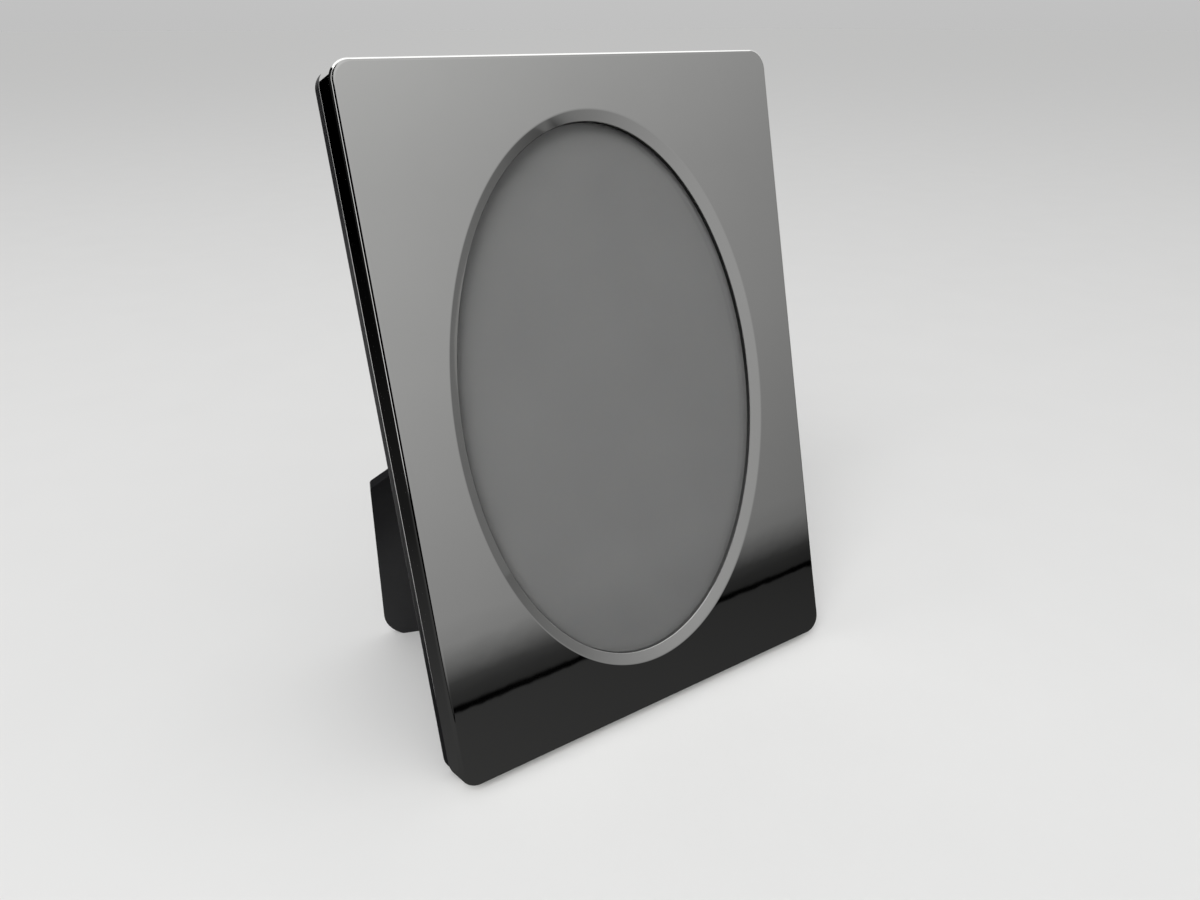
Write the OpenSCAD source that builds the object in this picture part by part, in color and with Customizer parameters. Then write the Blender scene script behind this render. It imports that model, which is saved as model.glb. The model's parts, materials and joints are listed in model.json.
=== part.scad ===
// Oval picture frame: a pressed metal shell over a wooden core, standing on a hinged strut.
// Most pieces are drawn upright, in face coordinates: X across the frame from its middle,
// Y from the front face towards the back, Z up along the face from the lower edge.
// standing() then leans them back, so that the frame rests on the floor at Z = 0.

/* [Front shell] */
// Width of the frame across the front
frame_w = 130; // [122:1:170]
// Height of the frame along the front
frame_h = 180; // [172:1:230]
// Depth of the metal shell, from its front face to its rear rim
shell_depth = 8.5; // [7.5:0.5:12]
// Thickness of the pressed metal sheet
sheet = 0.8; // [0.6:0.1:1]
// Radius of the four outer corners
corner_r = 5; // [4:0.5:8]
// Radius that rolls the front face into the side walls
edge_r = 1.2; // [1:0.1:1.5]

/* [Oval opening] */
// Width of the oval at the front face
oval_w = 100.5; // [90:0.5:104]
// Height of the oval at the front face
oval_h = 152.4; // [140:0.1:156]
// Width of the bevel that runs round the oval
bevel_w = 2.8; // [2:0.1:3.5]
// Depth that the bevel falls towards the glass
bevel_d = 1.75; // [1.2:0.05:2]
// Depth of the straight lip between the bevel and the glass
lip_d = 1.4; // [1:0.1:2]

/* [Glazing and filling] */
// Thickness of the glass
glass_t = 2; // [1.5:0.1:2.5]
// Thickness of the paper insert
insert_t = 0.3; // [0.2:0.05:0.5]
// How far the insert reaches past the clear oval, on every side
insert_margin = 4.6; // [4:0.1:6]
// Gap between the insert or the glass and the wooden rebate
insert_gap = 0.6; // [0.4:0.1:1]

/* [Wooden core and back] */
// How far the wooden core stands out behind the shell
core_proud = 4; // [3.5:0.1:6]
// How far the core's visible edge lies inside the shell's outline
core_inset = 0.4; // [0.2:0.1:1]
// Gap between the core and the inside of the shell
core_gap = 0.1; // [0.05:0.05:0.2]
// Thickness of the back panel
panel_t = 3.5; // [3:0.1:4]
// Thickness of the velvet on the back panel
velvet_t = 0.5; // [0.3:0.1:0.8]
// Gap between the back panel and the wooden rebate
panel_gap = 0.4; // [0.2:0.1:0.8]
// How far the velvet stands out behind the core
panel_proud = 0.2; // [0.1:0.1:0.4]

/* [Turn buttons] */
// Width of a turn button
button_w = 8; // [6:0.5:9]
// Thickness of a turn button's plate
button_t = 1; // [0.8:0.1:1.5]
// How far a closed turn button reaches over the back panel
button_reach = 6; // [4:0.5:8]
// Distance from the rebate to a turn button's screw
button_setback = 5.5; // [5:0.1:6]
// Radius of the turn button screws
screw_r = 1; // [0.8:0.1:1.2]
// Radius of the screw heads
screw_head_r = 2.1; // [1.8:0.1:2.6]
// Height of the screw heads
screw_head_h = 1; // [0.8:0.1:1.4]
// Length of a screw in the wood
screw_bite = 7; // [5:0.5:8]

/* [Strut] */
// Angle by which the frame leans back
lean = 14; // [10:0.5:17]
// Angle between the fold line of the strut and the horizontal
strut_tilt = 36; // [30:1:42]
// Thickness of the strut board
strut_t = 3.5; // [3:0.1:4]
// Width of the strut at its hinge
strut_top_w = 31; // [29:0.5:36]
// Length of the foot's upright edge, which folds beside the frame's edge
foot_side = 63.5; // [50:0.5:70]
// Length of the foot's lower edge, which stands on the floor
foot_base = 44; // [36:1:50]
// Radius of the foot's corner
foot_r = 11; // [6:0.5:14]
// Radius of the two shoulders above the foot
shoulder_r = 1.5; // [1:0.5:4]
// How far the folded strut stays inside the frame's outline
strut_inset = 0.5; // [0.2:0.1:2]
// Sideways place of the hinge from the middle of the back
hinge_x = 0; // [-4:0.5:4]
// Height of the hinge above the middle of the back
hinge_up = 1; // [-4:0.5:8]

/* [Hinge] */
// Length of the hinge along its pin
hinge_w = 20; // [18:0.5:22]
// Width of each hinge leaf
leaf_w = 14; // [12:0.5:16]
// Thickness of a hinge leaf
leaf_t = 0.8; // [0.6:0.1:1]
// Outer radius of the hinge knuckles
knuckle_r = 1.6; // [1.5:0.1:2]
// Radius of the hinge pin
pin_r = 0.8; // [0.7:0.05:0.9]
// Radial clearance of whatever turns on a pin or screw
running_gap = 0.05; // [0.03:0.01:0.08]
// Gap between neighbouring knuckles, and between the open strut and the velvet
stop_gap = 0.15; // [0.1:0.05:0.25]
// Radius of the rivets
rivet_r = 1.1; // [0.9:0.05:1.3]
// Radius of the rivet heads
rivet_head_r = 2.1; // [1.9:0.1:2.4]
// Height of the rivet heads
rivet_head_h = 0.6; // [0.5:0.1:0.7]

/* [Hidden] */
$fn = 48;

// Depths, from the front face towards the back
total_depth = shell_depth + core_proud;
glass_y = bevel_d + lip_d;
insert_y = glass_y + glass_t;
card_y = insert_y + insert_t;
velvet_back = total_depth + panel_proud;
panel_back = velvet_back - velvet_t;
panel_y = panel_back - panel_t;
card_t = panel_y - rivet_head_h - card_y;

// Sheet goods and the rebate that holds them
insert_w = oval_w - 2 * bevel_w + 2 * insert_margin;
insert_h = oval_h - 2 * bevel_w + 2 * insert_margin;
rebate_w = insert_w + 2 * insert_gap;
rebate_h = insert_h + 2 * insert_gap;
panel_w = rebate_w - 2 * panel_gap;
panel_h = rebate_h - 2 * panel_gap;

// Outline of the shell: points on each corner arc and along each straight side
corner_steps = 8;
side_steps = 14;
roll_steps = 4;
core_oval_gap = 0.8;
oval_steps = 96;

// Turn buttons: each stands on a boss that holds its plate clear of the velvet
button_clear = 0.15;
boss_h = panel_proud + button_clear;
boss_rim = 1;
boss_r = screw_head_r + boss_rim;
button_len = button_setback + button_reach;
button_hole_r = screw_r + running_gap;
head_gap = 0.05;
slot_w = screw_head_r / 4;

// Hinge: the pin's axis in face coordinates, and the strut's two angles
pin_y = velvet_back + knuckle_r;
pin_z = frame_h / 2 + hinge_up;
knuckles = 5;
knuckle_len = hinge_w / knuckles;
leaf_corner_r = 2;
rivet_rim = 1.9;
rivet_spread = hinge_w / 2 - rivet_head_r - rivet_rim;
rivet_from_pin = (knuckle_r + leaf_w) / 2;
barrel_gap = 0.6;
strut_face = leaf_t / 2;
strut_top = 6;
foot_steps = 10;
shoulder_steps = 5;

// The folded strut's corner lies at the frame's own corner. These give its distance from
// the pin, and the opening angle at which that corner comes down to the floor.
foot_x = -frame_w / 2 + strut_inset;
foot_reach = (hinge_x - foot_x) * sin(strut_tilt)
           + (pin_z - core_inset) * cos(strut_tilt);
swing_up = foot_reach * cos(strut_tilt) * cos(lean);
swing_out = foot_reach * sin(lean);
pin_drop = (pin_y - total_depth) * sin(lean);
swing = sqrt(swing_up * swing_up + swing_out * swing_out);
open_angle = atan2(swing_out, swing_up) + acos((swing_up - pin_drop) / swing);
floor_allowance = 1.5;

// Place on the floor: the core's rear lower edge touches it, and the origin is below the
// middle of the whole, from the rolled front edge to the foot's round corner
lift = total_depth * sin(lean) - core_inset * cos(lean);
front_y = edge_r * (cos(lean) + sin(lean) - 1);
arc_x = foot_x + foot_r - hinge_x;
arc_z = core_inset - floor_allowance + foot_r - pin_z;
arc_drop = arc_x * sin(strut_tilt) + arc_z * cos(strut_tilt);
arc_side = arc_x * cos(strut_tilt) - arc_z * sin(strut_tilt);
outer_face = strut_face + strut_t;
arc_out = outer_face * cos(open_angle) - arc_drop * sin(open_angle);
arc_up = outer_face * sin(open_angle) + arc_drop * cos(open_angle);
arc_rise = -arc_side * sin(strut_tilt) + arc_up * cos(strut_tilt);
side_pull = -sin(strut_tilt) * sin(lean);
drop_pull = -sin(open_angle) * cos(lean) + cos(open_angle) * cos(strut_tilt) * sin(lean);
back_y = (pin_y + arc_out) * cos(lean) + (pin_z + arc_rise) * sin(lean)
       + foot_r * sqrt(side_pull * side_pull + drop_pull * drop_pull);
middle_y = (front_y + back_y) / 2;

// How far a cutter runs past what it cuts, and the size of the largest cutters
over = 1;
far = 400;

// Points of a quarter turn round a corner of the outline
function corner_arc(cx, cz, start, r, steps) =
    [for (i = [0:steps]) let (a = start + 90 * i / steps)
        [cx + r * cos(a), cz + r * sin(a), cos(a), sin(a)]];

// Points along a straight side, without its two ends
function side_run(from, to, steps) =
    [for (i = [1:steps - 1]) let (s = i / steps)
        [from[0] + s * (to[0] - from[0]), from[1] + s * (to[1] - from[1]), to[2], to[3]]];

// The shell's outline as [x, z, normal x, normal z], anticlockwise from the right side
function shell_outline() =
    let (cx = frame_w / 2 - corner_r, cz = frame_h / 2 - corner_r,
         tr = corner_arc(cx, cz, 0, corner_r, corner_steps),
         tl = corner_arc(-cx, cz, 90, corner_r, corner_steps),
         bl = corner_arc(-cx, -cz, 180, corner_r, corner_steps),
         br = corner_arc(cx, -cz, 270, corner_r, corner_steps))
    concat(tr, side_run(tr[corner_steps], tl[0], side_steps),
           tl, side_run(tl[corner_steps], bl[0], side_steps),
           bl, side_run(bl[corner_steps], br[0], side_steps),
           br, side_run(br[corner_steps], tr[0], side_steps));

// A point of the oval at parameter t, moved outwards by off
function oval_point(t, off) =
    let (a = oval_w / 2, b = oval_h / 2,
         n = sqrt(pow(b * cos(t), 2) + pow(a * sin(t), 2)))
    [a * cos(t) + off * b * cos(t) / n, b * sin(t) + off * a * sin(t) / n];

// The sheet's section: [part, offset, depth], part 0 on the outline and 1 on the oval
bevel_angle = atan2(bevel_d, bevel_w);
face_bend = sheet * tan(bevel_angle / 2);
lip_bend = sheet * (1 - sin(bevel_angle)) / cos(bevel_angle);
shell_section = concat(
    [[0, 0, shell_depth]],
    [for (i = [0:roll_steps]) let (a = 90 * i / roll_steps)
        [0, -edge_r * (1 - cos(a)), edge_r * (1 - sin(a))]],
    [[1, 0, 0], [1, -bevel_w, bevel_d], [1, -bevel_w, bevel_d + lip_d],
     [1, -bevel_w + sheet, bevel_d + lip_d], [1, -bevel_w + sheet, bevel_d + lip_bend],
     [1, face_bend, sheet]],
    [[0, -edge_r, sheet], [0, -sheet, edge_r], [0, -sheet, shell_depth]]);

// Rounds one corner of an outline: p is the corner, a and b are its neighbours
function fillet(a, p, b, r, steps) =
    let (u = (a - p) / norm(a - p), v = (b - p) / norm(b - p),
         half = acos(u * v) / 2, mid = (u + v) / norm(u + v),
         c = p + mid * r / sin(half),
         start = p + u * r / tan(half), end = p + v * r / tan(half),
         a0 = atan2(start[1] - c[1], start[0] - c[0]),
         a1 = atan2(end[1] - c[1], end[0] - c[0]),
         turn = a1 - a0 > 180 ? a1 - a0 - 360 : a1 - a0 < -180 ? a1 - a0 + 360 : a1 - a0)
    [for (i = [0:steps]) let (t = a0 + turn * i / steps) c + r * [cos(t), sin(t)]];

// Leans upright pieces back and stands them on the floor
module standing() {
    translate([0, -middle_y, lift]) rotate([-lean, 0, 0]) children();
}

// Moves from hinge coordinates to face coordinates: X along the pin, Y out of the back,
// Z up the strut, which has turned out by angle
module on_hinge(angle) {
    translate([hinge_x, pin_y, pin_z]) rotate([0, strut_tilt, 0]) rotate([angle, 0, 0])
        children();
}

// A flat outline in X and Z, given a thickness that starts at depth y
module slab(y, t) {
    translate([0, y + t, 0]) rotate([90, 0, 0]) linear_extrude(t) children();
}

// A rectangle about the middle of the face
module centred_rect(w, h) {
    translate([-w / 2, frame_h / 2 - h / 2]) square([w, h]);
}

module rounded_rect(w, h, r) {
    translate([0, frame_h / 2]) {
        square([w - 2 * r, h], center = true);
        square([w, h - 2 * r], center = true);
        for (sx = [-1, 1], sz = [-1, 1])
            translate([sx * (w / 2 - r), sz * (h / 2 - r)]) circle(r);
    }
}

// A round pin along Y from depth y
module pin_y_axis(x, y, z, r, len) {
    translate([x, y + len, z]) rotate([90, 0, 0]) cylinder(h = len, r = r);
}

module front_shell() {
    outline = shell_outline();
    n = len(outline);
    m = len(shell_section);
    points = [for (p = outline, s = shell_section)
        let (t = atan2(p[1] / oval_h, p[0] / oval_w),
             q = s[0] == 0 ? [p[0] + s[1] * p[2], p[1] + s[1] * p[3]] : oval_point(t, s[1]))
        [q[0], s[2], q[1] + frame_h / 2]];
    faces = [for (i = [0:n - 1], j = [0:m - 1])
        let (i2 = (i + 1) % n, j2 = (j + 1) % m)
        each [[i * m + j, i * m + j2, i2 * m + j2], [i * m + j, i2 * m + j2, i2 * m + j]]];
    color("silver") standing() polyhedron(points, faces);
}

module wood_core() {
    inner = sheet + core_gap;
    bend = edge_r + core_gap;
    color("black") standing() difference() {
        union() {
            // The front edge steps back round the bend of the sheet
            slab(inner, bend - inner)
                rounded_rect(frame_w - 2 * bend, frame_h - 2 * bend, corner_r - bend);
            slab(bend, shell_depth - bend)
                rounded_rect(frame_w - 2 * inner, frame_h - 2 * inner, corner_r - inner);
            slab(shell_depth, core_proud)
                rounded_rect(frame_w - 2 * core_inset, frame_h - 2 * core_inset,
                             corner_r - core_inset);
        }
        slab(0, glass_y + over) translate([0, frame_h / 2])
            polygon([for (i = [0:oval_steps - 1]) oval_point(360 * i / oval_steps, core_oval_gap)]);
        slab(glass_y, far) centred_rect(rebate_w, rebate_h);
        button_places() pin_y_axis(0, total_depth - screw_bite, 0, screw_r, screw_bite + over);
    }
}

module glass_pane() {
    color("lightblue") standing() slab(glass_y, glass_t) centred_rect(insert_w, insert_h);
}

module photo_insert() {
    color("gainsboro") standing() slab(insert_y, insert_t) centred_rect(insert_w, insert_h);
}

module packing_card() {
    color("tan") standing() slab(card_y, card_t) centred_rect(insert_w, insert_h);
}

// Places of the two rivets in a leaf, in hinge coordinates
module rivet_places(side) {
    for (sx = [-1, 1]) translate([sx * rivet_spread, 0, side * rivet_from_pin]) children();
}

module panel_rivet_holes() {
    on_hinge(0) rivet_places(1) pin_y_axis(0, -far / 2, 0, rivet_r, far);
}

module back_panel() {
    color("dimgray") standing() difference() {
        slab(panel_y, panel_t) centred_rect(panel_w, panel_h);
        panel_rivet_holes();
    }
}

module panel_velvet() {
    color("black") standing() difference() {
        slab(panel_back, velvet_t) centred_rect(panel_w, panel_h);
        panel_rivet_holes();
    }
}

// The four screws, one at the middle of each side: top, right, bottom and left
module button_places(which = [0, 1, 2, 3]) {
    half = [rebate_h / 2, rebate_w / 2];
    for (i = which)
        translate([0, 0, frame_h / 2]) rotate([0, i * 90, 0])
            translate([0, 0, half[i % 2] + button_setback]) children();
}

// A pressed plate with a round end, which turns on the screw and points at the panel
module turn_button(i) {
    plate_y = total_depth + boss_h;
    color("silver") standing() button_places([i]) difference() {
        union() {
            slab(total_depth, boss_h) circle(boss_r);
            slab(plate_y, button_t) {
                circle(button_w / 2);
                translate([-button_w / 2, -button_len + button_w / 2])
                    square([button_w, button_len - button_w / 2]);
                translate([0, -button_len + button_w / 2]) circle(button_w / 2);
            }
        }
        pin_y_axis(0, total_depth - over, 0, button_hole_r, boss_h + button_t + 2 * over);
    }
}

module turn_button_screws() {
    head_y = total_depth + boss_h + button_t + head_gap;
    color("gray") standing() button_places() difference() {
        union() {
            pin_y_axis(0, total_depth - screw_bite, 0, screw_r, head_y - total_depth + screw_bite);
            pin_y_axis(0, head_y, 0, screw_head_r, screw_head_h);
        }
        translate([-screw_head_r, head_y + screw_head_h / 2, -slot_w / 2])
            cube([2 * screw_head_r, screw_head_h, slot_w]);
    }
}

// The knuckles of one leaf: which gives their numbers, counted along the pin
module knuckle_row(which) {
    for (k = which)
        translate([-hinge_w / 2 + k * knuckle_len + stop_gap / 2, 0, 0])
            rotate([0, 90, 0]) cylinder(h = knuckle_len - stop_gap, r = knuckle_r);
}

// Frees the space round the other leaf's knuckles
module knuckle_room(which) {
    for (k = which)
        translate([-hinge_w / 2 + k * knuckle_len - stop_gap / 2, 0, 0])
            rotate([0, 90, 0]) cylinder(h = knuckle_len + stop_gap, r = knuckle_r + stop_gap);
}

module pin_bore() {
    translate([-hinge_w, 0, 0]) rotate([0, 90, 0]) cylinder(h = 2 * hinge_w, r = pin_r + running_gap);
}

module leaf_outline() {
    r = leaf_corner_r;
    translate([-hinge_w / 2, 0]) square([hinge_w, leaf_w - r]);
    translate([-hinge_w / 2 + r, 0]) square([hinge_w - 2 * r, leaf_w]);
    for (sx = [-1, 1]) translate([sx * (hinge_w / 2 - r), leaf_w - r]) circle(r);
}

module hinge_leaf_panel() {
    color("silver") standing() on_hinge(0) difference() {
        union() {
            difference() {
                slab(-knuckle_r, leaf_t) leaf_outline();
                knuckle_room([1, 3]);
            }
            knuckle_row([0, 2, 4]);
        }
        pin_bore();
        rivet_places(1) pin_y_axis(0, -knuckle_r - over, 0, rivet_r, leaf_t + 2 * over);
    }
}

module hinge_leaf_strut() {
    color("silver") standing() on_hinge(open_angle) difference() {
        union() {
            difference() {
                mirror([0, 0, 1]) slab(-leaf_t / 2, leaf_t) leaf_outline();
                knuckle_room([0, 2, 4]);
            }
            knuckle_row([1, 3]);
        }
        pin_bore();
        rivet_places(-1) pin_y_axis(0, -leaf_t, 0, rivet_r, 2 * leaf_t);
    }
}

module hinge_pin() {
    color("gray") standing() on_hinge(0)
        translate([-hinge_w / 2, 0, 0]) rotate([0, 90, 0]) cylinder(h = hinge_w, r = pin_r);
}

// A rivet along Y with a head at each end of its grip
module rivet(y, grip) {
    pin_y_axis(0, y - rivet_head_h, 0, rivet_head_r, rivet_head_h);
    pin_y_axis(0, y, 0, rivet_r, grip);
    pin_y_axis(0, y + grip, 0, rivet_head_r, rivet_head_h);
}

module panel_rivets() {
    color("gray") standing() on_hinge(0) rivet_places(1)
        rivet(panel_y - pin_y, pin_y - knuckle_r + leaf_t - panel_y);
}

module strut_rivets() {
    color("gray") standing() on_hinge(open_angle) rivet_places(-1)
        rivet(-leaf_t / 2, leaf_t + strut_t);
}

// The folded strut's outline in face coordinates, taken from the hinge
module strut_outline() {
    along = [cos(strut_tilt), -sin(strut_tilt)];
    up = [sin(strut_tilt), cos(strut_tilt)];
    low = core_inset - floor_allowance - pin_z;
    left = foot_x - hinge_x;
    corner = [left, low];
    left_shoulder = [left, core_inset + foot_side - pin_z];
    right_shoulder = [left + foot_base, low];
    top_left = -along * strut_top_w / 2 + up * strut_top;
    top_right = along * strut_top_w / 2 + up * strut_top;
    polygon(concat(
        fillet(right_shoulder, corner, left_shoulder, foot_r, foot_steps),
        fillet(corner, left_shoulder, top_left, shoulder_r, shoulder_steps),
        [top_left, top_right],
        fillet(top_right, right_shoulder, corner, shoulder_r, shoulder_steps)));
}

module strut() {
    notch_w = hinge_w + 2 * barrel_gap;
    color("black") difference() {
        standing() on_hinge(open_angle) difference() {
            rotate([0, -strut_tilt, 0]) slab(strut_face, strut_t) strut_outline();
            translate([-notch_w / 2, -far / 2, -knuckle_r - barrel_gap])
                cube([notch_w, far, far]);
            rivet_places(-1) pin_y_axis(0, 0, 0, rivet_r, strut_t + over);
            // The bevelled top end, which comes to rest on the velvet
            rotate([-open_angle, 0, 0]) translate([-far / 2, -far - knuckle_r + stop_gap, -far / 2])
                cube([far, far, far]);
        }
        translate([-far / 2, -far / 2, -far]) cube([far, far, far]);
    }
}

front_shell();
wood_core();
glass_pane();
photo_insert();
packing_card();
back_panel();
panel_velvet();
turn_button(0);  // turn_button_top
turn_button(1);  // turn_button_right
turn_button(2);  // turn_button_bottom
turn_button(3);  // turn_button_left
turn_button_screws();
hinge_leaf_panel();
hinge_leaf_strut();
hinge_pin();
panel_rivets();
strut_rivets();
strut();
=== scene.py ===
import json
import math

import bmesh
import bpy
from mathutils import Matrix

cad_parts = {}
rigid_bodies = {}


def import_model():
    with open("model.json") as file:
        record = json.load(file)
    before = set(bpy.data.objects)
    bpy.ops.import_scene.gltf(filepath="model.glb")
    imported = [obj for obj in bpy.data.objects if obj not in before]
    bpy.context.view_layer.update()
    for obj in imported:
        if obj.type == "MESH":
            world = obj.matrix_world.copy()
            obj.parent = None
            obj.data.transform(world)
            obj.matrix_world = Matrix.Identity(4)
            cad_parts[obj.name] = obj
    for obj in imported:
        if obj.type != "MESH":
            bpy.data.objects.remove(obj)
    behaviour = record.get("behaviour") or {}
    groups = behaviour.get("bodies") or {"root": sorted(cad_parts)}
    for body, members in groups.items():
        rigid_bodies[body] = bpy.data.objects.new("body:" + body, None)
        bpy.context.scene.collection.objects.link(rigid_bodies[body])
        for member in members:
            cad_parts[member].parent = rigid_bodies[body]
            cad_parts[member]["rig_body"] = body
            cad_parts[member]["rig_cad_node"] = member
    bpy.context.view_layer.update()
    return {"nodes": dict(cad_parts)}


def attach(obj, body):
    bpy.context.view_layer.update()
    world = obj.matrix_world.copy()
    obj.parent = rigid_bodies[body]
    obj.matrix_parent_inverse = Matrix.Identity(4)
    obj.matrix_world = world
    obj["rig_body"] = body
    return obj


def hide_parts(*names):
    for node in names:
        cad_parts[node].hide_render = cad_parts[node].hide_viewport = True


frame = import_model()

nodes = frame["nodes"]
mm = 0.001

# Silver shell: one sheet of plated metal, pressed with rolled front edges, straight side walls
# and a bevelled oval window whose short lip meets the glass. It is pushed over the wooden core
# and turned in a little at the rear. The polish keeps the faint waves of pressed sheet.
frame_w, frame_h, shell_depth = 130 * mm, 180 * mm, 8.5 * mm
sheet = 0.8 * mm
corner_r, corner_steps = 5 * mm, 16
roll_r, roll_steps = 1.2 * mm, 8
oval_w, oval_h = 100.5 * mm, 152.4 * mm
bevel_w, bevel_d, lip_d = 2.8 * mm, 1.75 * mm, 1.4 * mm
lip_round, bevel_round, rim_round = 0.14 * mm, 0.25 * mm, 0.22 * mm
oval_points = 256
top_cuts, side_cuts = 40, 54
turned_in, turned_w = 0.1 * mm, 0.7 * mm
near = 0.1 * mm
lean = math.radians(14)
middle_y, lift = 41.2074 * mm, 2.63591 * mm

# Leans an upright piece back, sets its lower edge on the floor and brings it over the middle
standing = (Matrix.Translation((0, -middle_y, lift)) @ Matrix.Rotation(-lean, 4, "X")
            @ Matrix.Translation((0, 0, frame_h / 2)))


def alone(piece):
    """Leaves this piece as the only one selected."""
    bpy.ops.object.select_all(action="DESELECT")
    piece.select_set(True)
    bpy.context.view_layer.objects.active = piece
    return piece


def begin(name, add, **settings):
    """Adds a primitive as a new piece, with its rotation applied, and opens it for editing."""
    bpy.ops.object.select_all(action="DESELECT")
    add(**settings)
    piece = bpy.context.object
    piece.name = piece.data.name = name
    bpy.ops.object.transform_apply(location=True, rotation=True, scale=True)
    bpy.ops.object.mode_set(mode="EDIT")
    return piece


def pick(piece, kind, test):
    """Selects the edges or faces that pass a test, in edit mode."""
    bpy.ops.mesh.select_mode(type=kind)
    bpy.ops.mesh.select_all(action="DESELECT")
    mesh = bmesh.from_edit_mesh(piece.data)
    for part in mesh.edges if kind == "EDGE" else mesh.faces:
        if test(part):
            part.select_set(True)
    mesh.select_flush_mode()
    bmesh.update_edit_mesh(piece.data)


def between(part):
    """The middle of an edge."""
    return (part.verts[0].co + part.verts[1].co) / 2


def sharp(part, least):
    """True if the two faces at an edge turn by more than this, in degrees."""
    return len(part.link_faces) == 2 and part.calc_face_angle(0) > math.radians(least)


def fit(piece, kind, **settings):
    """Adds a modifier and applies it at once."""
    alone(piece)
    made = piece.modifiers.new(kind.lower(), kind)
    for name, value in settings.items():
        setattr(made, name, value)
    bpy.ops.object.modifier_apply(modifier=made.name)


def smooth(piece, angle=40):
    """Smooth shading up to an angle in degrees, led by the large faces, so flats stay flat."""
    alone(piece)
    bpy.ops.object.shade_smooth_by_angle(angle=math.radians(angle))
    fit(piece, "WEIGHTED_NORMAL", mode="FACE_AREA_WITH_ANGLE", keep_sharp=True)


def settle(piece, place=standing):
    """Puts a piece in its place on the frame and applies that to its mesh."""
    piece.matrix_world = place
    alone(piece)
    bpy.ops.object.transform_apply(location=True, rotation=True, scale=True)
    return piece


shell = begin("silver_shell", bpy.ops.mesh.primitive_plane_add, size=1,
              rotation=(math.pi / 2, 0, 0))
bpy.ops.transform.resize(value=(frame_w, 1, frame_h), center_override=(0, 0, 0))
bpy.ops.mesh.bevel(offset=corner_r, segments=corner_steps, profile=0.5, affect="VERTICES")
bpy.ops.mesh.delete(type="ONLY_FACE")
pick(shell, "EDGE", lambda e: abs(between(e).x) < mm)
bpy.ops.mesh.subdivide(number_cuts=top_cuts)
pick(shell, "EDGE", lambda e: abs(between(e).z) < mm)
bpy.ops.mesh.subdivide(number_cuts=side_cuts)
bpy.ops.mesh.select_all(action="DESELECT")
bpy.ops.mesh.primitive_circle_add(vertices=oval_points, radius=1, rotation=(math.pi / 2, 0, 0))
bpy.ops.transform.resize(value=(oval_w / 2, 1, oval_h / 2), center_override=(0, 0, 0))
bpy.ops.mesh.select_all(action="SELECT")
bpy.ops.mesh.bridge_edge_loops()


def beyond_oval(part):
    """True for an edge clearly outside the oval window."""
    c = between(part)
    return (2 * c.x / oval_w) ** 2 + (2 * c.z / oval_h) ** 2 > 1.02


# The side walls, turned in a little at the rear, and the roll of the front edge
pick(shell, "EDGE", lambda e: e.is_boundary and beyond_oval(e))
bpy.ops.mesh.extrude_region_move(TRANSFORM_OT_translate={"value": (0, shell_depth - turned_w, 0)})
bpy.ops.mesh.extrude_region_move(TRANSFORM_OT_translate={"value": (0, turned_w, 0)})
bpy.ops.transform.resize(value=(1 - 2 * turned_in / frame_w, 1, 1 - 2 * turned_in / frame_h),
                         center_override=(0, 0, 0))
pick(shell, "EDGE", lambda e: sharp(e, 60))
bpy.ops.mesh.bevel(offset=roll_r, segments=roll_steps, profile=0.5, affect="EDGES")

# The bevel and lip of the window, with their two edges eased
pick(shell, "EDGE", lambda e: e.is_boundary and not beyond_oval(e))
bpy.ops.mesh.extrude_region_move(TRANSFORM_OT_translate={"value": (0, bevel_d, 0)})
bpy.ops.transform.resize(value=(1 - 2 * bevel_w / oval_w, 1, 1 - 2 * bevel_w / oval_h),
                         center_override=(0, 0, 0))
bpy.ops.mesh.extrude_region_move(TRANSFORM_OT_translate={"value": (0, lip_d, 0)})
pick(shell, "EDGE", lambda e: sharp(e, 45))
bpy.ops.mesh.bevel(offset=lip_round, segments=4, profile=0.5, affect="EDGES")
pick(shell, "EDGE", lambda e: sharp(e, 22))
bpy.ops.mesh.bevel(offset=bevel_round, segments=4, profile=0.5, affect="EDGES")
bpy.ops.mesh.select_all(action="SELECT")
bpy.ops.mesh.normals_make_consistent(inside=False)
bpy.ops.object.mode_set(mode="OBJECT")
fit(shell, "SOLIDIFY", thickness=sheet, offset=-1, use_even_offset=True)
alone(shell)
bpy.ops.object.mode_set(mode="EDIT")
pick(shell, "EDGE", lambda e: sharp(e, 60) and between(e).y > shell_depth - near)
bpy.ops.mesh.bevel(offset=rim_round, segments=3, profile=0.5, affect="EDGES")
bpy.ops.object.mode_set(mode="OBJECT")
smooth(shell)
settle(shell)


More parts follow.
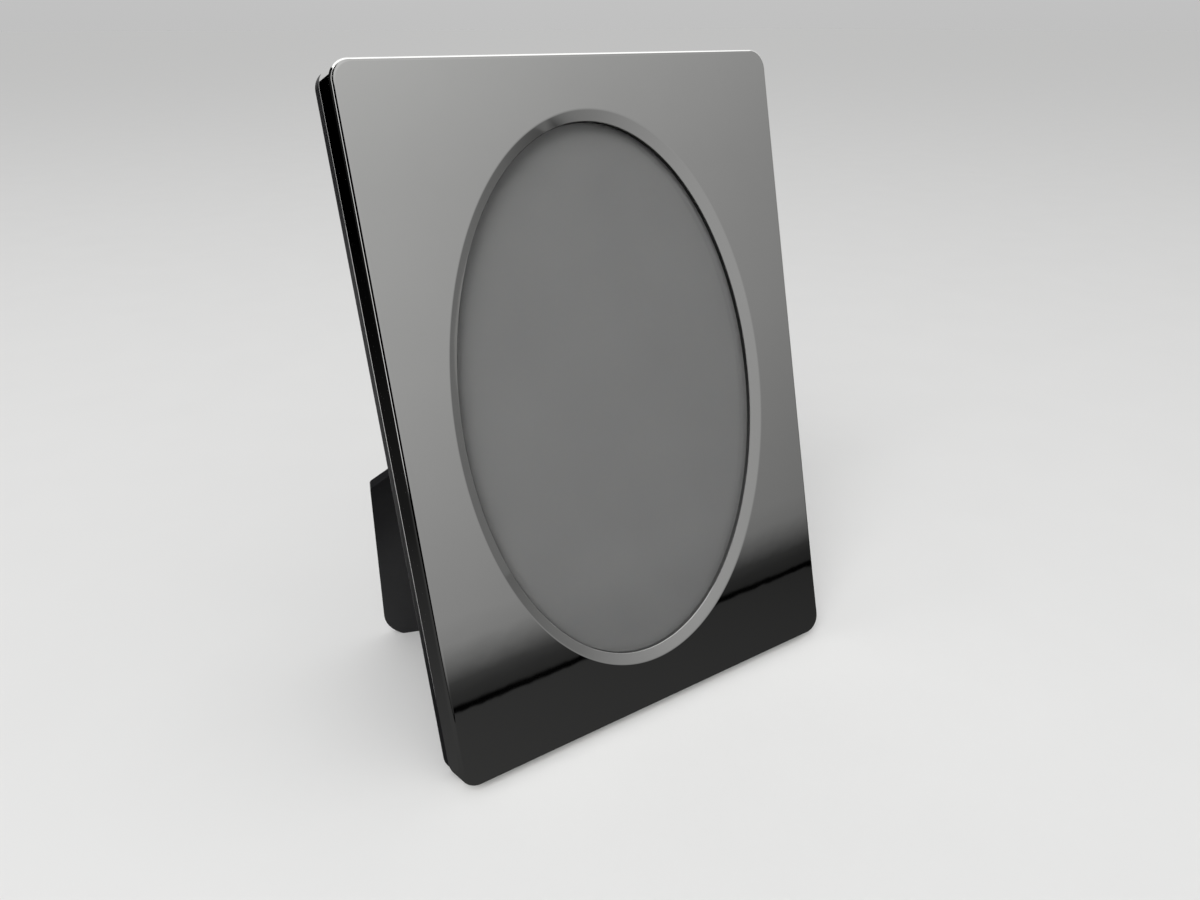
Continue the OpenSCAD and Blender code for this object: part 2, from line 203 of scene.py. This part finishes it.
class Value:
    """A number, colour or vector of a finish: a socket on which sums can be written."""

    def __init__(self, tree, socket=None):
        self.tree, self.socket = tree, socket

    def node(self, kind, inputs=(), out=0, stops=(), **settings):
        """Adds a shader node with these inputs and settings, and gives one of its outputs."""
        made = self.tree.nodes.new("ShaderNode" + kind)
        for name, value in settings.items():
            setattr(made, name, value)
        for at, tone in stops[2:]:
            made.color_ramp.elements.new(at)
        for stop, (at, tone) in zip(made.color_ramp.elements if stops else (), stops):
            stop.position, stop.color = at, (*([tone] * 3 if isinstance(tone, float) else tone), 1)
        for name, value in dict(inputs).items():
            if isinstance(value, Value):
                self.tree.links.new(value.socket, made.inputs[name])
            else:
                made.inputs[name].default_value = value
        return Value(self.tree, made.outputs[out])

    def maths(self, operation, *others):
        """A sum with other numbers or values."""
        return self.node("Math", enumerate((self, *others)), operation=operation)

    def __add__(self, other):
        return self.maths("ADD", other)

    def __radd__(self, other):
        return self.maths("ADD", other)

    def __mul__(self, other):
        return self.maths("MULTIPLY", other)

    def __rmul__(self, other):
        return self.maths("MULTIPLY", other)

    def clamp(self, low, high):
        """Runs from 0 to 1 as this value runs from low to high."""
        return self.node("MapRange", {"Value": self, "From Min": low, "From Max": high})

    def blend(self, first, second):
        """A colour: the first where this value is 0, the second where it is 1."""
        return self.node("Mix", {0: self, 6: (*first, 1), 7: (*second, 1)}, out=2,
                         data_type="RGBA")

    def grain(self, size, detail=2.0, rough=0.5, stretch=(1, 1, 1), turn=(0, 0, 0)):
        """Cloudy noise whose spots are about this size across, in metres."""
        place = self.node("Mapping", {"Vector": self, "Rotation": turn, "Scale": stretch})
        return self.node("TexNoise", {"Vector": place, "Scale": 1 / size, "Detail": detail,
                                      "Roughness": rough})

    def relief(self, depth, strength=1.0):
        """A surface normal from this height, whose full range is depth metres."""
        return self.node("Bump", {"Height": self, "Distance": depth, "Strength": strength})


def open_finish(name):
    """A new material, and the Object coordinates that its finish starts from."""
    made = bpy.data.materials.new(name)
    made.use_nodes = True
    return made, Value(made.node_tree).node("TexCoord", out="Object")


def close_finish(made, **sockets):
    """Sets the shader's sockets to numbers, colours or values that change over the surface."""
    shader = made.node_tree.nodes["Principled BSDF"]
    for name, value in sockets.items():
        socket = shader.inputs[name.replace("_", " ").title().replace("Ior", "IOR")]
        if isinstance(value, Value):
            made.node_tree.links.new(value.socket, socket)
        else:
            socket.default_value = value


def dress(piece, made, body, slot, *stands_for):
    """Gives a piece its material and, unless it is a CAD node, its body, and hides the CAD nodes
    that it stands for. The slot is not used.
    """
    piece.data.materials.clear()
    piece.data.materials.append(made)
    if "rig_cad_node" not in piece:
        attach(piece, body)
        if stands_for:
            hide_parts(*stands_for)


silver, place = open_finish("polished_silver")
smear = place.grain(28 * mm, 3.0, 0.6)
waves = 0.75 * place.grain(11 * mm, 1.0, 0.4) + 0.25 * place.grain(4.5 * mm, 1.0, 0.4)
hairline = place.grain(0.5 * mm, 2.0, 0.5, stretch=(1, 0.3, 0.12), turn=(0, 0.5, 0))
close_finish(
    silver,
    base_color=smear.blend((0.86, 0.86, 0.845), (0.9, 0.9, 0.885)),
    metallic=1.0,
    roughness=0.02 + 0.03 * smear + 0.01 * hairline,
    normal=waves.relief(0.028 * mm))
dress(shell, silver, "frame", "polished_silver", "front_shell")

# Lip lining: a thin strip of black paper tape glued round the inside of the lip. It covers the
# bare metal there, and shows as the fine dark line round the window. Low down its colour is
# painted lighter, a painted reflection of the lit paper that the lower lip mirrors.
tape_t, tape_y, tape_w = 0.1 * mm, 1.93 * mm, 1.15 * mm
tape_gap, tape_round = 0.005 * mm, 0.03 * mm
lining = begin("lip_lining", bpy.ops.mesh.primitive_circle_add, vertices=oval_points,
               radius=1, rotation=(math.pi / 2, 0, 0))
bpy.ops.transform.resize(value=(oval_w / 2 - bevel_w - tape_gap, 1,
                                oval_h / 2 - bevel_w - tape_gap), center_override=(0, 0, 0))
bpy.ops.transform.translate(value=(0, tape_y, 0))
bpy.ops.mesh.extrude_region_move(TRANSFORM_OT_translate={"value": (0, tape_w, 0)})
bpy.ops.mesh.select_all(action="SELECT")
bpy.ops.mesh.normals_make_consistent(inside=False)
bpy.ops.object.mode_set(mode="OBJECT")
fit(lining, "SOLIDIFY", thickness=tape_t, offset=-1, use_even_offset=True)
fit(lining, "BEVEL", width=tape_round, segments=2, limit_method="ANGLE",
    angle_limit=math.radians(50))
smooth(lining)
settle(lining)
tape, place = open_finish("black_tape")
pulp = place.grain(0.3 * mm, 4.0, 0.65)
up = place.node("SeparateXYZ", {0: place}, out="Z")
# Painted reflection: the tape's colour turns lighter towards the bottom of the window, where the
# lower lip mirrors the lit paper.
painted_reflection_from, painted_reflection_to = 90 * mm, 12 * mm
painted_low_reflection = up.clamp(painted_reflection_from, painted_reflection_to)
close_finish(
    tape,
    base_color=(0.8 * painted_low_reflection + 0.2 * pulp).blend((0.003, 0.003, 0.003), (0.07, 0.07, 0.07)),
    roughness=0.6 + 0.2 * pulp,
    specular_ior_level=0.1,
    normal=pulp.relief(0.02 * mm))
dress(lining, tape, "frame", "black_lacquer")

# Window glass: a clear float glass pane behind the oval, held by the shell's lip.
# The CAD pane is the right shape and stays. Lamplight goes straight through it to the paper.
glass, place = open_finish("clear_glass")
close_finish(glass, base_color=(0.985, 0.99, 0.985, 1), transmission_weight=1.0, ior=1.5,
             roughness=0.012 * place.grain(30 * mm, 3.0, 0.6))
tree = glass.node_tree
shadow = Value(tree).node("LightPath", out="Is Shadow Ray")
clear = Value(tree).node("BsdfTransparent")
pane = Value(tree, tree.nodes["Principled BSDF"].outputs[0])
shown = shadow.node("MixShader", {0: shadow, 1: pane, 2: clear})
tree.links.new(shown.socket, tree.nodes["Material Output"].inputs["Surface"])
dress(nodes["glass_pane"], glass, "frame", "clear_glass")

# Paper insert: the bare pale grey sheet that fills the frame until a picture is put in.
# It is cut to the glass, lies just behind it and shows the fine tooth of uncoated paper.
glass_y, glass_t = 3.15 * mm, 2 * mm
insert_w, insert_h, insert_t = 104.1 * mm, 156 * mm, 0.24 * mm
insert_gap, insert_corner = 0.04 * mm, 0.3 * mm
insert = begin("insert_sheet", bpy.ops.mesh.primitive_plane_add, size=1,
               rotation=(math.pi / 2, 0, 0))
bpy.ops.transform.resize(value=(insert_w, 1, insert_h), center_override=(0, 0, 0))
bpy.ops.transform.translate(value=(0, glass_y + glass_t + insert_gap, 0))
bpy.ops.mesh.bevel(offset=insert_corner, segments=3, profile=0.5, affect="VERTICES")
bpy.ops.object.mode_set(mode="OBJECT")
fit(insert, "SOLIDIFY", thickness=insert_t, offset=-1)
settle(insert)
paper, place = open_finish("insert_paper")
tooth = place.grain(0.35 * mm, 4.0, 0.65)
cloud = place.grain(22 * mm, 2.0, 0.5)
close_finish(
    paper,
    base_color=(0.3 * tooth + 0.7 * cloud).blend((0.145, 0.145, 0.144), (0.178, 0.178, 0.176)),
    roughness=0.78 + 0.14 * tooth,
    specular_ior_level=0.3,
    normal=tooth.relief(0.03 * mm))
dress(insert, paper, "frame", "insert_paper", "photo_insert")

# Packing card and back panel: a grey board that presses the insert to the glass, and the
# hardboard panel that closes the back. Both are flat sheets inside the frame and stay as they are.
greyboard, place = open_finish("grey_card")
fibre = place.grain(0.9 * mm, 4.0, 0.7, stretch=(1, 1, 0.4))
close_finish(greyboard, base_color=fibre.blend((0.34, 0.33, 0.3), (0.48, 0.47, 0.43)),
             roughness=0.9, normal=fibre.relief(0.08 * mm))
dress(nodes["packing_card"], greyboard, "frame", "grey_card")
hardboard, place = open_finish("fibreboard")
fibre = place.grain(1.4 * mm, 5.0, 0.7)
close_finish(hardboard, base_color=fibre.blend((0.13, 0.085, 0.05), (0.24, 0.165, 0.1)),
             roughness=0.75 + 0.15 * fibre, normal=fibre.relief(0.1 * mm))
dress(nodes["back_panel"], hardboard, "frame", "fibreboard")

# Wooden core: a moulding with a rebate for the glass and the panel, glued into the shell and
# lacquered black. It stands out behind the shell, with the outer and the rebate edges eased.
total_depth = 12.5 * mm
core_round = 0.5 * mm
long_edge = 0.2 * mm


def copy_of(node, name):
    """A copy of a CAD node, merged into whole faces, as a piece that can be shaped further."""
    made = nodes[node].copy()
    made.data = made.data.copy()
    made.name = made.data.name = name
    made.parent = None
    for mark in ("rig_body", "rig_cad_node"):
        del made[mark]
    bpy.context.scene.collection.objects.link(made)
    alone(made)
    bpy.ops.object.mode_set(mode="EDIT")
    bpy.ops.mesh.select_all(action="SELECT")
    bpy.ops.mesh.remove_doubles(threshold=0.001 * mm)
    bpy.ops.mesh.dissolve_limited(angle_limit=math.radians(0.5))
    bpy.ops.object.mode_set(mode="OBJECT")
    return made


def ease(piece, width, steps=3, angle=35):
    """Rounds every edge that is sharper than the angle, in degrees."""
    fit(piece, "BEVEL", width=width, segments=steps, limit_method="ANGLE",
        angle_limit=math.radians(angle))
    smooth(piece)


core = copy_of("wood_core", "lacquered_core")
upright = standing.inverted()


def rear_edge(edge):
    """True for the core's long rear edges, outside and at the rebate."""
    c = upright @ between(edge)
    return (sharp(edge, 60) and c.y > total_depth - near
            and max(abs(c.x) / frame_w, abs(c.z) / frame_h) > 0.4
            and min((c - upright @ v.co).length for v in edge.verts) > long_edge)


alone(core)
bpy.ops.object.mode_set(mode="EDIT")
pick(core, "EDGE", rear_edge)
bpy.ops.mesh.bevel(offset=core_round, segments=4, profile=0.5, affect="EDGES")
bpy.ops.object.mode_set(mode="OBJECT")
smooth(core)


def lacquer(name, size):
    """Satin black lacquer over wood, whose grain shows only as faint relief."""
    made, place = open_finish(name)
    figure = place.grain(size, 3.0, 0.6, stretch=(1, 1, 0.08), turn=(lean, 0, 0))
    peel = place.grain(1.2 * mm, 2.0, 0.5)
    wear = place.grain(14 * mm, 3.0, 0.6)
    close_finish(
        made,
        base_color=wear.blend((0.005, 0.005, 0.006), (0.011, 0.011, 0.012)),
        roughness=0.26 + 0.12 * wear + 0.05 * peel,
        specular_ior_level=0.28,
        normal=(0.6 * figure + 0.4 * peel).relief(0.06 * mm))
    return made


dress(core, lacquer("black_lacquer", 1.6 * mm), "frame", "black_lacquer", "wood_core")

# Velvet: the short black pile glued over the back panel, cut to it all round.
# It is one thin flat sheet with a soft turned edge.
velvet_w, velvet_h, velvet_t = 104.5 * mm, 156.4 * mm, 0.5 * mm
velvet_back, velvet_round = 12.7 * mm, 0.2 * mm
velvet_across, velvet_down = 52, 78
velvet = begin("velvet_cover", bpy.ops.mesh.primitive_grid_add, size=1,
               x_subdivisions=velvet_across, y_subdivisions=velvet_down,
               rotation=(-math.pi / 2, 0, 0))
bpy.ops.transform.resize(value=(velvet_w, 1, velvet_h), center_override=(0, 0, 0))
bpy.ops.transform.translate(value=(0, velvet_back, 0))
bpy.ops.object.mode_set(mode="OBJECT")
fit(velvet, "SOLIDIFY", thickness=velvet_t, offset=-1)
alone(velvet)
bpy.ops.object.mode_set(mode="EDIT")
pick(velvet, "EDGE", lambda e: sharp(e, 60) and between(e).y > velvet_back - near)
bpy.ops.mesh.bevel(offset=velvet_round, segments=3, profile=0.5, affect="EDGES")
bpy.ops.object.mode_set(mode="OBJECT")
smooth(velvet)
settle(velvet)
pile, place = open_finish("black_velvet")
nap = place.grain(0.14 * mm, 2.0, 0.6, stretch=(1, 1, 0.5))
brushed = place.grain(16 * mm, 3.0, 0.6, stretch=(1, 1, 0.6)).clamp(0.3, 0.7)
close_finish(
    pile,
    base_color=(0.5 * nap + 0.5 * brushed).blend((0.004, 0.004, 0.005), (0.03, 0.03, 0.033)),
    roughness=0.95,
    sheen_weight=0.7,
    sheen_roughness=0.35,
    sheen_tint=(0.55, 0.55, 0.6, 1),
    specular_ior_level=0.1,
    normal=(0.7 * nap + 0.3 * brushed).relief(0.07 * mm))
dress(velvet, pile, "frame", "black_velvet", "panel_velvet")

# Turn buttons: four plates stamped from plated steel with round ends and a pressed rib, each
# on a small boss. They swivel on their screws and hold the back panel in.
button_w, button_t, button_len = 8 * mm, 1 * mm, 11.5 * mm
boss_r, boss_h, boss_gap = 3.1 * mm, 0.35 * mm, 0.02 * mm
hole_r, hole_deep = 1.05 * mm, 4 * mm
rib_w, rib_low, rib_high, rib_h = 2.6 * mm, -8.6 * mm, -4.4 * mm, 0.35 * mm
rib_sunk, rib_round, plate_round = 0.2 * mm, 0.3 * mm, 0.16 * mm
almost_half = 0.4999
screw_from_middle = (84.1 * mm, 58.15 * mm)


def side_place(i):
    """The place of the screw at the middle of side i: top, right, bottom, left."""
    return (standing @ Matrix.Rotation(i * math.pi / 2, 4, "Y")
            @ Matrix.Translation((0, 0, screw_from_middle[i % 2])))


def stadium(name, width, low, high, y, depth):
    """A plate with round ends from low to high, whose front is at depth y."""
    piece = begin(name, bpy.ops.mesh.primitive_plane_add, size=1, rotation=(math.pi / 2, 0, 0))
    bpy.ops.transform.resize(value=(width, 1, high - low), center_override=(0, 0, 0))
    bpy.ops.transform.translate(value=(0, y, (high + low) / 2))
    bpy.ops.mesh.bevel(offset=width * almost_half, segments=14, profile=0.5, affect="VERTICES")
    bpy.ops.mesh.remove_doubles(threshold=0.002 * mm)
    bpy.ops.mesh.extrude_region_move(TRANSFORM_OT_translate={"value": (0, depth, 0)})
    bpy.ops.mesh.select_all(action="SELECT")
    bpy.ops.mesh.normals_make_consistent(inside=False)
    bpy.ops.object.mode_set(mode="OBJECT")
    return piece


def disc(name, radius, y, depth):
    """A round plate or rod about the screw's axis, whose front is at depth y."""
    piece = begin(name, bpy.ops.mesh.primitive_cylinder_add, vertices=48, radius=radius,
                  depth=depth, rotation=(math.pi / 2, 0, 0))
    bpy.ops.transform.translate(value=(0, y + depth / 2, 0))
    bpy.ops.object.mode_set(mode="OBJECT")
    return piece


def combine(piece, other, operation):
    """Joins another solid to a piece, or cuts it out, and removes the other."""
    fit(piece, "BOOLEAN", object=other, operation=operation, solver="EXACT")
    bpy.data.objects.remove(other)


plate_y = total_depth + boss_h
plate = stadium("turn_plate", button_w, -button_len, button_w / 2, plate_y, button_t)
rib = stadium("rib", rib_w, rib_low, rib_high, plate_y + button_t - rib_sunk,
              rib_h + rib_sunk)
ease(rib, rib_round, angle=60)
combine(plate, rib, "UNION")
combine(plate, disc("boss", boss_r, total_depth + boss_gap, boss_h), "UNION")
combine(plate, disc("hole", hole_r, total_depth - mm, hole_deep), "DIFFERENCE")
ease(plate, plate_round, angle=55)


def plated(name, colour, rough):
    """Nickel plated steel, with fine rubbing marks and a few duller patches."""
    made, place = open_finish(name)
    dull = place.grain(3.5 * mm, 3.0, 0.6)
    rubbed = place.grain(0.5 * mm, 2.0, 0.5, stretch=(1, 0.5, 0.15), turn=(0, 0.9, 0))
    close_finish(
        made,
        base_color=dull.blend(colour, [0.82 * c for c in colour]),
        metallic=1.0,
        roughness=rough + 0.12 * dull + 0.08 * rubbed,
        normal=rubbed.relief(0.004 * mm))
    return made


nickel = plated("nickel_plate", (0.66, 0.64, 0.6), 0.2)
for i, side in enumerate(("top", "right", "bottom", "left")):
    button = plate.copy()
    button.data = plate.data.copy()
    button.name = f"turn_plate_{side}"
    bpy.context.scene.collection.objects.link(button)
    settle(button, side_place(i))
    dress(button, nickel, f"{side}_button", "plated_steel", f"turn_button_{side}")
bpy.data.objects.remove(plate)

# Turn button screws: four small round-headed steel screws with a sawn slot, each driven until
# the button just turns. Their slots stand as the screwdriver left them.
screw_r, head_r, head_h, screw_bite = 1 * mm, 2.1 * mm, 1 * mm, 7 * mm
head_gap, head_round, slot_w, overlap = 0.05 * mm, 0.75 * mm, 0.5 * mm, 0.1 * mm
slots_turned = (20, -48, 8, 66)
head_y = plate_y + button_t + head_gap
screw = disc("screw", head_r, head_y, head_h)
alone(screw)
bpy.ops.object.mode_set(mode="EDIT")
pick(screw, "EDGE", lambda e: sharp(e, 60) and between(e).y > head_y + head_h / 2)
bpy.ops.mesh.bevel(offset=head_round, segments=6, profile=0.5, affect="EDGES")
bpy.ops.object.mode_set(mode="OBJECT")
screw_tip = total_depth - screw_bite
combine(screw, disc("shank", screw_r, screw_tip, head_y - screw_tip + overlap), "UNION")
saw_cut = begin("saw_cut", bpy.ops.mesh.primitive_cube_add, size=1)
bpy.ops.transform.resize(value=(3 * head_r, head_h, slot_w), center_override=(0, 0, 0))
bpy.ops.transform.translate(value=(0, head_y + head_h, 0))
bpy.ops.object.mode_set(mode="OBJECT")
combine(screw, saw_cut, "DIFFERENCE")
smooth(screw, 30)
screws = []
for i, turned in enumerate(slots_turned):
    driven = screw.copy()
    driven.data = screw.data.copy()
    bpy.context.scene.collection.objects.link(driven)
    settle(driven, side_place(i) @ Matrix.Rotation(math.radians(turned), 4, "Y"))
    screws.append(driven)
bpy.data.objects.remove(screw)
alone(screws[0])
for driven in screws:
    driven.select_set(True)
bpy.ops.object.join()
screws[0].name = screws[0].data.name = "turn_screws"
dress(screws[0], plated("screw_steel", (0.6, 0.59, 0.57), 0.24), "frame", "plated_steel",
      "turn_button_screws")

# Hinge: two stamped leaves with rolled knuckles on one steel pin, set slanting across the back
# so that the strut folds into a corner. One leaf is riveted to the panel, the other to the strut.
hinge_round = 0.12 * mm
hinge_steel = plated("hinge_nickel", (0.7, 0.69, 0.66), 0.16)
for node, name, body in (("hinge_leaf_panel", "leaf_on_panel", "frame"),
                         ("hinge_leaf_strut", "leaf_on_strut", "strut"),
                         ("hinge_pin", "pin_rod", "frame")):
    stamped = copy_of(node, name)
    ease(stamped, hinge_round, 2, 50)
    dress(stamped, hinge_steel, body, "plated_steel", node)

# Rivets: two through each leaf, with domed heads that have a pressed dimple, and tails that
# are rolled down on the far side of the panel or strut.
pin_y, pin_up = 14.3 * mm, 1 * mm
strut_tilt, open_angle = math.radians(36), math.radians(35.1614)
rivet_r, rivet_head_r, rivet_head_h = 1.1 * mm, 2.1 * mm, 0.6 * mm
rivet_out, rivet_along = 6 * mm, 7.8 * mm
rivet_round, tail_round = 0.42 * mm, 0.25 * mm
dimple_rim, dimple_slope, dimple_deep = 0.5 * mm, 0.25 * mm, 0.2 * mm
knuckle_r, leaf_t, strut_t = 1.6 * mm, 0.8 * mm, 3.5 * mm
panel_y = 8.7 * mm


def hinge_place(angle, x, z):
    """A place on the hinge: x along the pin, z up the leaf that has turned out by angle."""
    return (standing @ Matrix.Translation((0, pin_y, pin_up)) @ Matrix.Rotation(strut_tilt, 4, "Y")
            @ Matrix.Rotation(angle, 4, "X") @ Matrix.Translation((x, 0, z)))


def rivet(y, grip):
    """A rivet whose two heads hold a grip that starts at depth y."""
    piece = disc("rivet", rivet_head_r, y + grip, rivet_head_h)
    alone(piece)
    bpy.ops.object.mode_set(mode="EDIT")
    pick(piece, "EDGE", lambda e: sharp(e, 60) and between(e).y > y + grip + rivet_head_h / 2)
    bpy.ops.mesh.bevel(offset=rivet_round, segments=5, profile=0.5, affect="EDGES")
    pick(piece, "FACE", lambda f: f.normal.y > 0.99)
    bpy.ops.mesh.inset(thickness=dimple_rim)
    bpy.ops.mesh.inset(thickness=dimple_slope, depth=-dimple_deep)
    bpy.ops.object.mode_set(mode="OBJECT")
    tail = disc("tail", rivet_head_r, y - rivet_head_h, rivet_head_h)
    ease(tail, tail_round, angle=60)
    shank = disc("shank", rivet_r, y - overlap, grip + 2 * overlap)
    combine(piece, shank, "UNION")
    combine(piece, tail, "UNION")
    smooth(piece, 30)
    return piece


def rivet_pair(name, body, node, angle, up, y, grip):
    """Two rivets side by side in a leaf, up along it from the pin, joined as one piece."""
    pair = []
    for side in (-1, 1):
        one = rivet(y, grip)
        settle(one, hinge_place(angle, side * rivet_out, up))
        pair.append(one)
    alone(pair[0])
    pair[1].select_set(True)
    bpy.ops.object.join()
    pair[0].name = pair[0].data.name = name
    dress(pair[0], plated(name + "_steel", (0.62, 0.61, 0.58), 0.26), body, "plated_steel", node)


rivet_pair("rivets_in_panel", "frame", "panel_rivets", 0, rivet_along,
           panel_y - pin_y, pin_y - knuckle_r + leaf_t - panel_y)
rivet_pair("rivets_in_strut", "strut", "strut_rivets", open_angle, -rivet_along,
           -leaf_t / 2, leaf_t + strut_t)

# Strut: a board lacquered black like the core, with one wide foot whose two edges meet in a
# round corner. The foot's lower edge stands on the table, and every edge is eased.
strut_round = 0.45 * mm
strut = copy_of("strut", "strut_board")
ease(strut, strut_round, 4)
dress(strut, lacquer("strut_lacquer", 2.2 * mm), "strut", "strut_lacquer", "strut")

# The studio: a plain pale floor, a soft lamp at the front left and an even pale surround. Five
# cards and two dark flags, which only mirroring surfaces can show, stand in for the dim room
# and the dark table that the polished face reflects.
floor_z, card_z = -0.05 * mm, -0.03 * mm
front_y, left_x, flag_x, card_h = -0.14, -0.5, -0.13, 0.8
table_y, side_x = -0.03, -0.055
right_from, right_to = 0.18, 0.24
bpy.ops.object.select_all(action="DESELECT")
bpy.ops.mesh.primitive_plane_add(size=60, location=(0, 0, floor_z))
floor = bpy.context.object
floor.name = "floor"
pale, place = open_finish("pale_floor")
close_finish(
    pale,
    base_color=place.grain(40 * mm, 2.0, 0.5).blend((0.74, 0.74, 0.735), (0.76, 0.76, 0.755)),
    roughness=0.9,
    specular_ior_level=0.0)
floor.data.materials.append(pale)


def card(name, corners, strength):
    """A flat card that gives light only to what mirrors it, with a strength that may change."""
    mesh = bpy.data.meshes.new(name)
    mesh.from_pydata(corners, [], [range(len(corners))])
    made = bpy.data.objects.new(name, mesh)
    bpy.context.scene.collection.objects.link(made)
    made.visible_camera = made.visible_diffuse = made.visible_shadow = False
    finish, place = open_finish(name)
    axes = [place.node("SeparateXYZ", {0: place}, out=i) for i in range(3)]
    glow = place.node("Emission", {"Strength": strength(*axes)})
    lit = place.node("LightPath", out="Diffuse Depth").maths("GREATER_THAN", 0.5)
    shown = lit.node("MixShader", {0: lit, 1: glow, 2: place.node("BsdfTransparent")})
    tree = finish.node_tree
    tree.links.new(shown.socket, tree.nodes["Material Output"].inputs["Surface"])
    made.data.materials.append(finish)


def upright_card(name, start, end, height, strength):
    """A card that stands on the floor between two points."""
    card(name, [(*start, card_z), (*end, card_z), (*end, height), (*start, height)], strength)


def flat_card(name, corners, height, strength):
    """A card that lies level at a height."""
    card(name, [(*corner, height) for corner in corners], strength)


def steps(value, low, high, *stops):
    """A strength that follows these stops as a value runs from low to high."""
    return value.node("ValToRGB", {0: value.clamp(low, high)}, stops=stops)


def front_glow(x, y, z):
    """Dark above the floor except at the far right, lighter higher up, dimmer to the right."""
    foot = steps(z, 0, 0.04, (0.0, 0.0), (0.025, 0.0), (0.05, 0.1), (0.14, 0.12),
                 (0.24, 0.18), (0.41, 0.57), (0.58, 0.9), (0.8, 1.0))
    rise = steps(z, 0, 0.3, (0.0, 0.2), (0.15, 0.24), (0.4, 0.31), (0.65, 0.36),
                 (0.8, 0.42), (1.0, 0.5))
    across = steps(x, -0.2, 0.3, (0.0, 1.0), (0.35, 1.0), (0.6, 0.75), (1.0, 0.5))
    return 1.1 * foot.maths("MAXIMUM", x.clamp(right_from, right_to)) * rise * across


def left_glow(x, y, z):
    """One bright strip a little in front of the frame, and nearly dark behind it."""
    return 0.8 * steps(y, front_y, 0.14, (0.0, 0.01), (0.1, 1.0), (0.35, 1.0), (0.45, 0.01))


def table_glow(x, y, z):
    """The dark table top, lighter to the right, with a black front edge up to there."""
    across = steps(x, -0.1, 0.5, (0.0, 0.04), (0.12, 0.032), (0.42, 0.02), (0.8, 0.115),
                   (1.0, 0.14))
    edge = steps(y, front_y, 0, (0.0, 0.0), (0.025, 0.0), (0.04, 1.0))
    return across * edge.maths("MAXIMUM", x.clamp(right_from, right_to))


def side_glow(x, y, z):
    """The table beside the frame, which darkens towards the rear."""
    return steps(y, table_y, 0.7, (0.0, 0.04), (0.18, 0.011), (0.5, 0.003), (0.95, 0.0))


upright_card("front_card", (flag_x, front_y), (0.9, front_y), card_h, front_glow)
upright_card("camera_flag", (left_x, front_y), (flag_x, front_y), card_h, lambda *at: 0.0)
upright_card("left_card", (left_x, front_y), (left_x, 1.0), card_h, left_glow)
upright_card("rear_flag", (left_x, 0.7), (-0.18, 0.7), 0.6, lambda *at: 0.0)
flat_card("table_card", [(-1, front_y), (1.5, front_y), (1.5, table_y), (-1, table_y)], card_z,
          table_glow)
flat_card("side_card", [(left_x, table_y), (side_x, table_y), (-0.28, 0.71), (left_x, 0.71)],
          card_z, side_glow)
flat_card("top_card", [(-0.6, 0.0), (0.9, 0.0), (0.9, 0.8), (-0.6, 0.8)], 1.0, lambda *at: 1.3)

bpy.ops.object.light_add(type="AREA", location=(-0.9, -0.75, 1.33), rotation=(0.55, -0.84, 0))
softbox = bpy.context.object
softbox.name = "softbox"
softbox.data.shape, softbox.data.size, softbox.data.size_y = "RECTANGLE", 1.0, 1.0
softbox.data.energy = 16.2

# The surround, a little lighter overhead, so that floor and background meet unseen
world = bpy.data.worlds.new("surround")
bpy.context.scene.world = world
world.use_nodes = True
tree = world.node_tree
sky = Value(tree).node("TexCoord", out="Generated")
overhead = sky.node("SeparateXYZ", {0: sky}, out="Z").clamp(0, 0.5)
tree.links.new((0.53 + 0.193 * overhead).socket, tree.nodes["Background"].inputs["Strength"])
tree.nodes["Background"].inputs["Color"].default_value = (1, 1, 1, 1)

# The camera: it stands where the photographer's did, close by and a little above the frame,
# to the left of its middle.
lens_data = bpy.data.cameras.new("camera")
camera = bpy.data.objects.new("camera", lens_data)
bpy.context.scene.collection.objects.link(camera)
bpy.context.scene.camera = camera
camera.location = (-0.14382, -0.21618, 0.18385)
camera.rotation_euler = (math.radians(65.937), 0, math.radians(-34.697))
lens_data.sensor_width = 36
lens_data.lens = 28.66
lens_data.clip_start, lens_data.clip_end = 0.01, 100

bpy.context.scene.view_settings.view_transform = "Standard"
